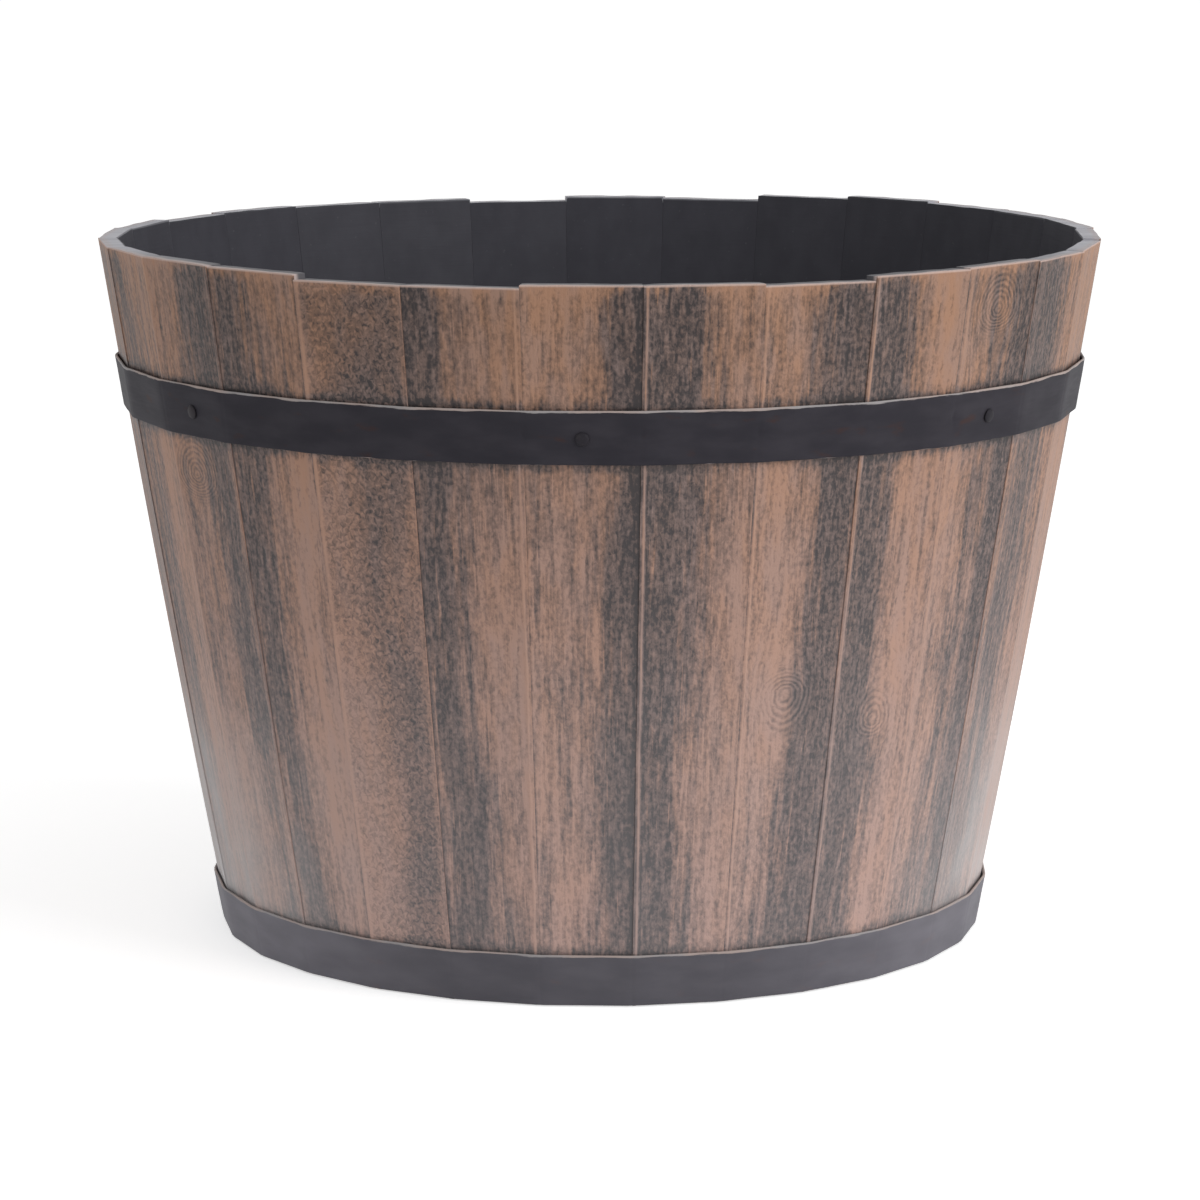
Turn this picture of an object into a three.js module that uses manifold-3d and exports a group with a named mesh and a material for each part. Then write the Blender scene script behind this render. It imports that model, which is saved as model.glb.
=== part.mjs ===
// A coopered barrel planter. Tapered staves stand in a ring, joined on radial faces and held by two
// riveted and nailed iron hoops. A boarded floor sits in the croze, a groove round the staves' inner side.
// Millimetres, +Z up, front towards -Y. The origin is on the ground, in the middle of the foot.

import * as THREE from "three";
import { mergeVertices } from "three/addons/utils/BufferGeometryUtils.js";
import Module from "manifold-3d";

const wasm = await Module();
wasm.setup();

// ---- Driving dimensions ----

// The tub. Radii run from the axis to the middle of a stave's flat outer face.
const HEIGHT = 348;
const RIM_RADIUS = 248.5;
const FOOT_RADIUS = 189.5;
const BELLY = 1.4; // how far the wall swells past a straight taper, at mid height

// Staves
const STAVE_COUNT = 28;
const STAVE_THICKNESS = 10;
const STAVE_TURN = -1.93; // degrees from the front to the middle of the first stave
const EDGE_EASING = 0.9; // bevel on the long outer edges
const RIM_STEPS = [
  -0.6, -0.7, -1.8, 0.4, 0.9, 0.2, 0.4, 1.5, 2.0, 2.1, 2.2, 3.2, 1.6, -1.0, -0.2, -2.7, -0.8, -1.0, -0.3,
  -1.1, 0.0, 0.6, 0.5, 0.8, 1.1, 0.5, -2.1, -2.1,
]; // each stave's top above or below HEIGHT, as the cooper left them
const FACE_STEP = 0.8; // how far the proudest staves stand out of the ring
const FACE_SHARES = [0, 0.75, 0.25, 1, 0.375, 0.875, 0.125]; // each stave's share of that, repeating

// Hoops, both bent from one size of strip
const HOOP_WIDTH = 25.5;
const HOOP_THICKNESS = 1.4;
const UPPER_HOOP_DROP = 58; // rim to the upper hoop's top edge
const LOWER_HOOP_LIFT = 0.5; // keeps the lower hoop off the ground, so the staves carry the tub
const LAP_LENGTH = 36;
const LAP_STAVE = 14; // the stave, counted from 0, that the laps lie on
const LAP_JOGGLE = 3; // length of strip that steps out over the other end
const RIVET_PITCH = 18;

// Rivets and nails
const RIVET_HEAD_RADIUS = 4.4;
const RIVET_HEAD_HEIGHT = 2.4;
const RIVET_SHANK_RADIUS = 2.2;
const NAIL_HEAD_RADIUS = 3.4;
const NAIL_HEAD_HEIGHT = 1.3;
const NAIL_SHANK_RADIUS = 1.2;
const NAIL_COVER = 2.5; // wood left behind a nail's point
const UPPER_NAILED = [0, 4, 8, 12, 16, 20, 24]; // the staves, counted from 0, that the nails enter
const LOWER_NAILED = [8, 12, 16, 20]; // only round the back, so the foot stays plain in front

// Floor
const FLOOR_LIFT = 22; // ground to the underside of the boards
const BOARD_COUNT = 5;
const BOARD_THICKNESS = 12;
const TONGUE_THICKNESS = 6; // the thinned edge that enters the croze
const TONGUE_BEVEL = 18; // length of the slope down to the tongue
const CROZE_DEPTH = 4;
const DOWEL_RADIUS = 3.5;
const DOWEL_LENGTH = 40;
const DOWEL_SPREAD = 120; // between the two dowels of a joint
const DRAIN_RADIUS = 6;
const DRAIN_SPREAD = 150; // between the two drain holes of a board

// Fits
const JOINT_GAP = 0.3; // between neighbouring staves, and between floor boards
const SEAT_GAP = 0.3; // round anything that seats on or enters another piece

// ---- Roundness of the model ----
const WALL_STEPS = 6; // straight stretches that make up the belly
const CROZE_SIDES_PER_STAVE = 2;
const PIN_SIDES = 12;
const DRAIN_SIDES = 16;
const DOME_STEPS = 3;

// ---- Derived ----
const PITCH = (2 * Math.PI) / STAVE_COUNT;
const HALF_PITCH = PITCH / 2;
const TALLEST = HEIGHT + Math.max(...RIM_STEPS);
const SLACK = 5; // how far a cutting body runs past what it cuts
const FRONT = -Math.PI / 2;
const TURNED_SIDES = STAVE_COUNT * CROZE_SIDES_PER_STAVE;

const UPPER_HOOP_Z = HEIGHT - UPPER_HOOP_DROP - HOOP_WIDTH;
const LOWER_HOOP_Z = LOWER_HOOP_LIFT;
const HOOP_STANDOFF = FACE_STEP + SEAT_GAP; // stave face to the hoop's inner side
const LAP_STANDOFF = HOOP_STANDOFF + HOOP_THICKNESS + SEAT_GAP; // and to the outer strip end's inner side

const FLOOR_TOP = FLOOR_LIFT + BOARD_THICKNESS;
const TONGUE_BOTTOM = FLOOR_LIFT + (BOARD_THICKNESS - TONGUE_THICKNESS) / 2;
const TONGUE_TOP = TONGUE_BOTTOM + TONGUE_THICKNESS;
const CROZE_RADIUS = wallRadius(TONGUE_TOP) - STAVE_THICKNESS + CROZE_DEPTH;
const FLOOR_RADIUS = CROZE_RADIUS - SEAT_GAP;
const SHOULDER_RADIUS = wallRadius(TONGUE_BOTTOM) - STAVE_THICKNESS - SEAT_GAP; // where the tongue begins
const BOARD_WIDTH = (2 * FLOOR_RADIUS) / BOARD_COUNT;

// The stave ring's outer radius at a height: a straight taper with the belly added.
function wallRadius(z) {
  const share = z / HEIGHT;
  return FOOT_RADIUS + (RIM_RADIUS - FOOT_RADIUS) * share + 4 * BELLY * share * (1 - share);
}

// How far the wall leans outwards from upright at a height, in radians.
function wallLean(z) {
  const swelling = 4 * BELLY * (1 - (2 * z) / HEIGHT);
  return Math.atan((RIM_RADIUS - FOOT_RADIUS + swelling) / HEIGHT);
}

// ---- Solids ----

function toSolid(geometry) {
  const bare = geometry.clone();
  bare.deleteAttribute("normal");
  bare.deleteAttribute("uv");
  const merged = mergeVertices(bare, 1e-4);
  return new wasm.Manifold(
    new wasm.Mesh({
      numProp: 3,
      vertProperties: merged.attributes.position.array,
      triVerts: new Uint32Array(merged.index.array),
    }),
  );
}

function toGeometry(solid) {
  const { numProp, numVert, vertProperties, triVerts } = solid.getMesh();
  const positions = new Float32Array(numVert * 3);
  for (let i = 0; i < numVert; i++) {
    positions.set(vertProperties.subarray(i * numProp, i * numProp + 3), i * 3);
  }
  const geometry = new THREE.BufferGeometry();
  geometry.setAttribute("position", new THREE.BufferAttribute(positions, 3));
  geometry.setIndex(new THREE.BufferAttribute(triVerts, 1));
  const faceted = geometry.toNonIndexed();
  faceted.computeVertexNormals();
  return faceted;
}

// A ring or disc turned about Z from [radius, height] points. Its flat sides, like the staves', have one
// facing +X, and the radii run to the middle of a side.
function turned(profile, sides = STAVE_COUNT) {
  const toCorner = 1 / Math.cos(Math.PI / sides);
  const points = profile.map(([radius, z]) => new THREE.Vector2(radius * toCorner, z));
  const geometry = new THREE.LatheGeometry(points, sides, Math.PI / 2 + HALF_PITCH);
  return geometry.rotateX(Math.PI / 2);
}

// A slab whose side view in the XZ plane is the given outline, centred on that plane.
function slab(outline, width) {
  const shape = new THREE.Shape(outline.map(([x, z]) => new THREE.Vector2(x, z)));
  const geometry = new THREE.ExtrudeGeometry(shape, { depth: width, bevelEnabled: false });
  return geometry.translate(0, 0, -width / 2).rotateX(Math.PI / 2);
}

// A box between two opposite corners.
function block([x0, y0, z0], [x1, y1, z1]) {
  const geometry = new THREE.BoxGeometry(x1 - x0, y1 - y0, z1 - z0);
  return geometry.translate((x0 + x1) / 2, (y0 + y1) / 2, (z0 + z1) / 2);
}

// Heights at which the wall's straight stretches meet, up to the given top.
function wallHeights(top) {
  return Array.from({ length: WALL_STEPS + 1 }, (_, i) => (top * i) / WALL_STEPS);
}

// ---- Staves, each drawn with its outer face towards +X ----

// The wedge between two radial joint planes, drawn in by half the joint gap.
function jointWedge() {
  const reach = 2 * RIM_RADIUS;
  const apex = JOINT_GAP / 2 / Math.sin(HALF_PITCH);
  const spread = (reach - apex) * Math.tan(HALF_PITCH);
  const shape = new THREE.Shape([
    new THREE.Vector2(apex, 0),
    new THREE.Vector2(reach, -spread),
    new THREE.Vector2(reach, spread),
  ]);
  const geometry = new THREE.ExtrudeGeometry(shape, {
    depth: TALLEST + 2 * SLACK,
    bevelEnabled: false,
  });
  return toSolid(geometry.translate(0, 0, -SLACK));
}

// A slab whose outer side lies at 45 degrees across one long outer edge of a stave, to bevel it.
function edgeBevel(top, step, side) {
  const angle = Math.PI / 4;
  const toEdge = Math.cos(angle - HALF_PITCH) / Math.cos(HALF_PITCH);
  const cut = EDGE_EASING * Math.sin(angle);
  const outline = [
    [0, 0],
    ...wallHeights(top).map((z) => [(wallRadius(z) + step) * toEdge - cut, z]),
    [0, top],
  ];
  return toSolid(slab(outline, 2 * RIM_RADIUS).rotateZ(side * angle));
}

function staveSolid(index) {
  const top = HEIGHT + RIM_STEPS[index % RIM_STEPS.length];
  const step = FACE_STEP * FACE_SHARES[index % FACE_SHARES.length];
  const heights = wallHeights(top);
  const outline = [
    ...heights.map((z) => [wallRadius(z) + step, z]),
    ...heights.reverse().map((z) => [wallRadius(z) + step - STAVE_THICKNESS, z]),
  ];
  let stave = toSolid(slab(outline, 4 * RIM_RADIUS * Math.tan(HALF_PITCH)))
    .intersect(jointWedge())
    .intersect(edgeBevel(top, step, 1))
    .intersect(edgeBevel(top, step, -1))
    .subtract(crozeRing());
  for (const z of nailHeights(index)) stave = stave.subtract(nailHole(z));
  return stave;
}

// What the croze takes out of the ring of staves.
function crozeRing() {
  const inner = FOOT_RADIUS / 2;
  const bottom = TONGUE_BOTTOM - SEAT_GAP;
  const top = TONGUE_TOP + SEAT_GAP;
  const profile = [
    [inner, bottom],
    [CROZE_RADIUS, bottom],
    [CROZE_RADIUS, top],
    [inner, top],
    [inner, bottom],
  ];
  return toSolid(turned(profile, TURNED_SIDES));
}

// ---- Rivets and nails, each drawn along +X with its head's underside at x = 0 ----

function pin(headRadius, headHeight, shankRadius, shankLength) {
  const dome = Array.from({ length: DOME_STEPS + 1 }, (_, i) => {
    const angle = (i / DOME_STEPS) * (Math.PI / 2);
    return new THREE.Vector2(headRadius * Math.cos(angle), headHeight * Math.sin(angle));
  });
  dome[DOME_STEPS].x = 0;
  const profile = [
    new THREE.Vector2(0, -shankLength),
    new THREE.Vector2(shankRadius, -shankLength),
    new THREE.Vector2(shankRadius, 0),
    ...dome,
  ];
  return new THREE.LatheGeometry(profile, PIN_SIDES).rotateZ(-Math.PI / 2);
}

function pinHole(shankRadius, depth) {
  const radius = shankRadius + SEAT_GAP;
  const length = depth + 2 * SLACK;
  const geometry = new THREE.CylinderGeometry(radius, radius, length, PIN_SIDES);
  return geometry.rotateZ(-Math.PI / 2).translate(length / 2 - depth, 0, 0);
}

// Turns something drawn along +X square to the wall at a height, a given distance out of its face.
function squareToWall(object, z, standoff, across = 0) {
  const lean = wallLean(z);
  const position = new THREE.Vector3(
    wallRadius(z) + standoff * Math.cos(lean),
    across,
    z - standoff * Math.sin(lean),
  );
  object.applyMatrix4(new THREE.Matrix4().makeRotationY(lean).setPosition(position));
  return object;
}

const NAIL_DEPTH = STAVE_THICKNESS - NAIL_COVER; // how far a nail enters its stave
const NAIL_STANDOFF = HOOP_STANDOFF + HOOP_THICKNESS + SEAT_GAP; // stave face to the head's underside
const RIVET_STANDOFF = LAP_STANDOFF + HOOP_THICKNESS + SEAT_GAP;
const RIVET_LENGTH = RIVET_STANDOFF - HOOP_STANDOFF; // ends flush with the inner strip's inner side

const UPPER_HOOP_MIDDLE = UPPER_HOOP_Z + HOOP_WIDTH / 2;
const LOWER_HOOP_MIDDLE = LOWER_HOOP_Z + HOOP_WIDTH / 2;

function nailHeights(index) {
  const heights = [];
  if (UPPER_NAILED.includes(index)) heights.push(UPPER_HOOP_MIDDLE);
  if (LOWER_NAILED.includes(index)) heights.push(LOWER_HOOP_MIDDLE);
  return heights;
}

function nailHole(z) {
  const depth = NAIL_STANDOFF + NAIL_DEPTH + SEAT_GAP;
  return toSolid(squareToWall(pinHole(NAIL_SHANK_RADIUS, depth), z, NAIL_STANDOFF));
}

// ---- Hoops, each drawn with its lap towards +X ----

// One turn of strip that lies the given distance out of the staves' nominal faces.
function strip(bottom, standoff, thickness) {
  const top = bottom + HOOP_WIDTH;
  const lean = wallLean((bottom + top) / 2);
  const inner = standoff / Math.cos(lean);
  const outer = (standoff + thickness) / Math.cos(lean);
  const profile = [
    [wallRadius(bottom) + inner, bottom],
    [wallRadius(bottom) + outer, bottom],
    [wallRadius(top) + outer, top],
    [wallRadius(top) + inner, top],
    [wallRadius(bottom) + inner, bottom],
  ];
  return toSolid(turned(profile));
}

// The strip goes once round, steps out over its own first end and is riveted to it there.
function hoopSolid(bottom, nailed) {
  const lapStart = -LAP_LENGTH / 2;
  const lapEnd = LAP_LENGTH / 2;
  const between = (y0, y1) =>
    toSolid(block([0, y0, bottom - SLACK], [2 * RIM_RADIUS, y1, bottom + HOOP_WIDTH + SLACK]));
  const firstEnd = between(lapStart, lapStart + SEAT_GAP);
  const lap = strip(bottom, LAP_STANDOFF, HOOP_THICKNESS).intersect(between(lapStart, lapEnd));
  const joggle = strip(bottom, HOOP_STANDOFF, 2 * HOOP_THICKNESS + SEAT_GAP).intersect(
    between(lapStart - LAP_JOGGLE, lapStart),
  );
  let hoop = strip(bottom, HOOP_STANDOFF, HOOP_THICKNESS).subtract(firstEnd).add(joggle).add(lap);
  const middle = bottom + HOOP_WIDTH / 2;
  for (const y of rivetPlaces()) {
    const hole = pinHole(RIVET_SHANK_RADIUS, RIVET_STANDOFF);
    hoop = hoop.subtract(toSolid(squareToWall(hole, middle, RIVET_STANDOFF, y)));
  }
  for (const index of nailed) {
    const hole = pinHole(NAIL_SHANK_RADIUS, NAIL_STANDOFF);
    squareToWall(hole, middle, NAIL_STANDOFF).rotateZ((index - LAP_STAVE) * PITCH);
    hoop = hoop.subtract(toSolid(hole));
  }
  return hoop;
}

function rivetPlaces() {
  return [-RIVET_PITCH / 2, RIVET_PITCH / 2];
}

// ---- Floor ----

// The whole floor as one disc, thinned to a tongue all round its edge.
function floorDisc() {
  const flat = SHOULDER_RADIUS - TONGUE_BEVEL;
  const profile = [
    [0, FLOOR_LIFT],
    [flat, FLOOR_LIFT],
    [SHOULDER_RADIUS, TONGUE_BOTTOM],
    [FLOOR_RADIUS, TONGUE_BOTTOM],
    [FLOOR_RADIUS, TONGUE_TOP],
    [SHOULDER_RADIUS, TONGUE_TOP],
    [flat, FLOOR_TOP],
    [0, FLOOR_TOP],
  ];
  return toSolid(turned(profile, TURNED_SIDES));
}

const DOWEL_Z = FLOOR_LIFT + BOARD_THICKNESS / 2;

// Middle of the joint between a board and the next one.
function jointY(board) {
  return (board + 1 - BOARD_COUNT / 2) * BOARD_WIDTH;
}

function dowelGeometry(radius, length) {
  return new THREE.CylinderGeometry(radius, radius, length, PIN_SIDES);
}

function dowelPlaces() {
  const places = [];
  for (let board = 0; board < BOARD_COUNT - 1; board++) {
    places.push([-DOWEL_SPREAD / 2, jointY(board)], [DOWEL_SPREAD / 2, jointY(board)]);
  }
  return places;
}

// Drain holes lie on each inner board's centre line: two and one, turn about.
function drainPlaces() {
  const places = [];
  for (let board = 1; board < BOARD_COUNT - 1; board++) {
    const y = jointY(board) - BOARD_WIDTH / 2;
    if (board % 2) places.push([-DRAIN_SPREAD / 2, y], [DRAIN_SPREAD / 2, y]);
    else places.push([0, y]);
  }
  return places;
}

// The floor with its dowel and drain holes, ready to be sawn into boards.
function drilledFloor() {
  let floor = floorDisc();
  for (const [x, y] of dowelPlaces()) {
    const hole = dowelGeometry(DOWEL_RADIUS + SEAT_GAP, DOWEL_LENGTH + 2 * SEAT_GAP);
    floor = floor.subtract(toSolid(hole.translate(x, y, DOWEL_Z)));
  }
  for (const [x, y] of drainPlaces()) {
    const depth = BOARD_THICKNESS + 2 * SLACK;
    const hole = new THREE.CylinderGeometry(DRAIN_RADIUS, DRAIN_RADIUS, depth, DRAIN_SIDES);
    floor = floor.subtract(toSolid(hole.rotateX(Math.PI / 2).translate(x, y, DOWEL_Z)));
  }
  return floor;
}

function boardSolid(floor, board) {
  const low = board === 0 ? -RIM_RADIUS : jointY(board - 1) + JOINT_GAP / 2;
  const high = board === BOARD_COUNT - 1 ? RIM_RADIUS : jointY(board) - JOINT_GAP / 2;
  const reach = RIM_RADIUS;
  return floor.intersect(toSolid(block([-reach, low, 0], [reach, high, FLOOR_TOP + SLACK])));
}

// ---- The planter ----

const FINISHES = {
  stave: { color: 0x7c5a45, roughness: 0.72, metalness: 0 },
  hoop: { color: 0x2b2a2d, roughness: 0.45, metalness: 0.6 },
  fastener: { color: 0x323136, roughness: 0.5, metalness: 0.6 },
  floor: { color: 0x241f1e, roughness: 0.8, metalness: 0 },
  dowel: { color: 0xb08a63, roughness: 0.8, metalness: 0 },
};

function piece(name, geometry, finish) {
  const mesh = new THREE.Mesh(geometry, new THREE.MeshStandardMaterial(FINISHES[finish]));
  mesh.name = name;
  return mesh;
}

// A group turned so that its +X faces out through the middle of a stave.
function facingStave(index) {
  const group = new THREE.Group();
  group.rotation.z = FRONT + THREE.MathUtils.degToRad(STAVE_TURN) + index * PITCH;
  return group;
}

function twoDigits(number) {
  return String(number).padStart(2, "0");
}

const planter = new THREE.Group();
planter.name = "barrel_planter";

for (let index = 0; index < STAVE_COUNT; index++) {
  const place = facingStave(index);
  place.add(piece("stave_" + twoDigits(index + 1), toGeometry(staveSolid(index)), "stave"));
  planter.add(place);
}

const HOOPS = [
  { name: "upper_hoop", bottom: UPPER_HOOP_Z, nailed: UPPER_NAILED },
  { name: "lower_hoop", bottom: LOWER_HOOP_Z, nailed: LOWER_NAILED },
];
for (const { name, bottom, nailed } of HOOPS) {
  const middle = bottom + HOOP_WIDTH / 2;
  const lapPlace = facingStave(LAP_STAVE);
  lapPlace.add(piece(name, toGeometry(hoopSolid(bottom, nailed)), "hoop"));
  rivetPlaces().forEach((y, i) => {
    const shape = pin(RIVET_HEAD_RADIUS, RIVET_HEAD_HEIGHT, RIVET_SHANK_RADIUS, RIVET_LENGTH);
    const rivet = piece(name + "_rivet_" + (i + 1), shape, "fastener");
    lapPlace.add(squareToWall(rivet, middle, RIVET_STANDOFF, y));
  });
  planter.add(lapPlace);

  nailed.forEach((index, i) => {
    const length = NAIL_STANDOFF + NAIL_DEPTH;
    const shape = pin(NAIL_HEAD_RADIUS, NAIL_HEAD_HEIGHT, NAIL_SHANK_RADIUS, length);
    const nail = piece(name + "_nail_" + (i + 1), shape, "fastener");
    const place = facingStave(index);
    place.add(squareToWall(nail, middle, NAIL_STANDOFF));
    planter.add(place);
  });
}

const floor = drilledFloor();
for (let board = 0; board < BOARD_COUNT; board++) {
  planter.add(piece("floor_board_" + (board + 1), toGeometry(boardSolid(floor, board)), "floor"));
}
dowelPlaces().forEach(([x, y], i) => {
  const dowel = piece("floor_dowel_" + (i + 1), dowelGeometry(DOWEL_RADIUS, DOWEL_LENGTH), "dowel");
  dowel.position.set(x, y, DOWEL_Z);
  planter.add(dowel);
});

export default planter;
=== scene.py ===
import math

import bpy
import numpy as np
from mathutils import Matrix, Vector


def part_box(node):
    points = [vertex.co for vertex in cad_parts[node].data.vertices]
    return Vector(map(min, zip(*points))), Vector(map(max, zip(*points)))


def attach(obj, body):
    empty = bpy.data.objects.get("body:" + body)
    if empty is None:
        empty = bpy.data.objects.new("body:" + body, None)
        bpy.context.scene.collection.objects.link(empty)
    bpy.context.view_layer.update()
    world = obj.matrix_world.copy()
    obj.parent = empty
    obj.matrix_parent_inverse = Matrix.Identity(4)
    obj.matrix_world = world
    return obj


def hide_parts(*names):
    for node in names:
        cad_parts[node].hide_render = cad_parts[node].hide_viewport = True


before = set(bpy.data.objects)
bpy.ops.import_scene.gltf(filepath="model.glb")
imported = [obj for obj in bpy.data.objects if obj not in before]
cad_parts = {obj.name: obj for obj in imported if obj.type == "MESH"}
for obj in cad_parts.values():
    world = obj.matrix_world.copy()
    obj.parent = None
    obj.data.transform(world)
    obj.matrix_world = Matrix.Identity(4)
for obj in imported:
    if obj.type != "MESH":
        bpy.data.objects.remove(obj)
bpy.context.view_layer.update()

# The coopered barrel planter, dressed. Lengths are in millimetres until a mesh is made. Heights are above the
# ground, and azimuths are in degrees from the front (-Y), growing towards +X.

MM = 0.001

# ---- The wall, as in the part's source ----
HEIGHT = 348.0
RIM_RADIUS = 248.5
FOOT_RADIUS = 189.5
BELLY = 1.4  # how far the wall swells past a straight taper, at mid height
STAVES = 28
THICKNESS = 10.0
FIRST_AZIMUTH = -1.93  # the middle of the first stave
FACE_STEP = 0.8  # how far the proudest staves stand out of the ring
FACE_SHARES = (0, 0.75, 0.25, 1, 0.375, 0.875, 0.125)  # each stave's share of that, repeating
CROZE = (24.7, 31.3)  # the groove's bottom and top
CROZE_CUT = 4.5
PITCH = 360 / STAVES
HALF = math.radians(PITCH / 2)

# ---- The hoops, as in the part's source ----
HOOP_WIDTH = 25.5
HOOP_THICKNESS = 1.4
HOOP_STANDOFF = 1.1  # stave face to the strip's inner side
LAP_STANDOFF = 2.8  # the same where the strip lies over its own first end
LAP_LENGTH = 36.0
LAP_JOGGLE = 3.0  # length of strip that steps out over the other end
LAP_STAVE = 14  # the stave, counted from 0, that the laps lie on
UPPER_HOOP_Z = 264.5
LOWER_HOOP_Z = 0.5

# ---- Rivets and nails, as in the part's source: head radius, head height and shank radius ----
RIVET = (4.4, 2.4, 2.2)
NAIL = (3.4, 1.3, 1.2)

# ---- The floor, as in the part's source ----
BOARD_PITCH = 75.6  # from joint to joint


def wall_radius(z):
    share = z / HEIGHT
    return FOOT_RADIUS + (RIM_RADIUS - FOOT_RADIUS) * share + 4 * BELLY * share * (1 - share)


def wall_lean(z):
    return np.arctan((RIM_RADIUS - FOOT_RADIUS + 4 * BELLY * (1 - 2 * z / HEIGHT)) / HEIGHT)


def smooth(x):
    x = np.clip(x, 0, 1)
    return x * x * (3 - 2 * x)


def fade(value, start, length):
    """Goes smoothly from 0 at start to 1 that length further on. A negative length fades the other way."""
    return smooth((value - start) / length)


def bump(distance, width):
    return np.exp(-((distance / width) ** 2))


def from_front(azimuth):
    """The same azimuth between -180 and 180."""
    return (azimuth + 180) % 360 - 180


NOISE_CELLS = 64


def noise(x, y, seed):
    """Smooth values from -1 to 1 that change over a distance of about 1."""
    table = np.random.default_rng(seed).uniform(-1, 1, (NOISE_CELLS, NOISE_CELLS))
    ix, iy = np.floor(x).astype(int), np.floor(y).astype(int)
    fx, fy = smooth(x - ix), smooth(y - iy)

    def at(dx, dy):
        return table[(ix + dx) % NOISE_CELLS, (iy + dy) % NOISE_CELLS]

    low = at(0, 0) * (1 - fx) + at(1, 0) * fx
    high = at(0, 1) * (1 - fx) + at(1, 1) * fx
    return low * (1 - fy) + high * fy


# ---- Meshes ----


def lattice_shell(shape):
    """The skin of a box of lattice points: each point's three indices, and each side's quads. The sides are
    the two at the ends of the second axis, then of the first and then of the third."""
    skin = np.zeros(shape, bool)
    skin[[0, -1]] = skin[:, [0, -1]] = True
    skin[:, :, [0, -1]] = True
    ids = np.full(shape, -1)
    ids[skin] = np.arange(skin.sum())

    def side(grid, flip):
        quads = np.stack([grid[:-1, :-1], grid[1:, :-1], grid[1:, 1:], grid[:-1, 1:]], -1).reshape(-1, 4)
        return quads[:, ::-1] if flip else quads

    sides = [
        side(ids[:, 0], False),
        side(ids[:, -1], True),
        side(ids[0], True),
        side(ids[-1], False),
        side(ids[:, :, 0], True),
        side(ids[:, :, -1], False),
    ]
    return np.argwhere(skin), sides


def rounded(inwards, rounding):
    """How far each point moves inwards along each axis to round a body's edges, from how far in it lies."""
    inset = rounding - np.minimum(np.stack(inwards), rounding)
    length = np.linalg.norm(inset, axis=0)
    turned = inset * (rounding / np.maximum(length, 1e-9))
    return np.where(length > rounding - 1e-6, inset - turned, 0)


def add_piece(name, mesh, node):
    """Adds a mesh as a piece that rides on the body and stands for a CAD node."""
    mesh.update()
    made = bpy.data.objects.new(name, mesh)
    bpy.context.scene.collection.objects.link(made)
    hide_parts(node)
    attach(made, "root")


MAP_MARGIN = 0.01


def add_shell(name, points, sides, materials, skins, attributes, chart, node):
    """A smooth piece made of a lattice's skin. skins gives each side's quads their materials' numbers. chart
    gives each side's place in the map for baking, as (across, up, left, right): the points' measures across
    and up the side, and the side's share of the map's width."""
    mesh = bpy.data.meshes.new(name)
    quads = np.concatenate(sides)
    mesh.from_pydata((points * MM).tolist(), [], quads.tolist())
    for made in materials:
        mesh.materials.append(made)
    mesh.polygons.foreach_set("material_index", np.concatenate(skins).astype(np.int32))
    mesh.polygons.foreach_set("use_smooth", np.ones(len(quads), bool))
    for key, values in attributes.items():
        layer = mesh.attributes.new(key, "FLOAT_VECTOR", "POINT")
        layer.data.foreach_set("vector", np.stack(values, -1).astype(np.float32).ravel())
    corners = []
    for side, (across, up, left, right) in zip(sides, chart):
        x, y = across[side], up[side]
        x = left + (right - left) * (x - x.min()) / (x.max() - x.min())
        y = MAP_MARGIN + (1 - 2 * MAP_MARGIN) * (y - y.min()) / (y.max() - y.min())
        corners.append(np.stack([x, y], -1).reshape(-1, 2))
    uv_map = mesh.uv_layers.new(name="OFBake")
    uv_map.data.foreach_set("uv", np.concatenate(corners).astype(np.float32).ravel())
    add_piece(name, mesh, node)


# ---- Paint on the staves ----

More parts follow.
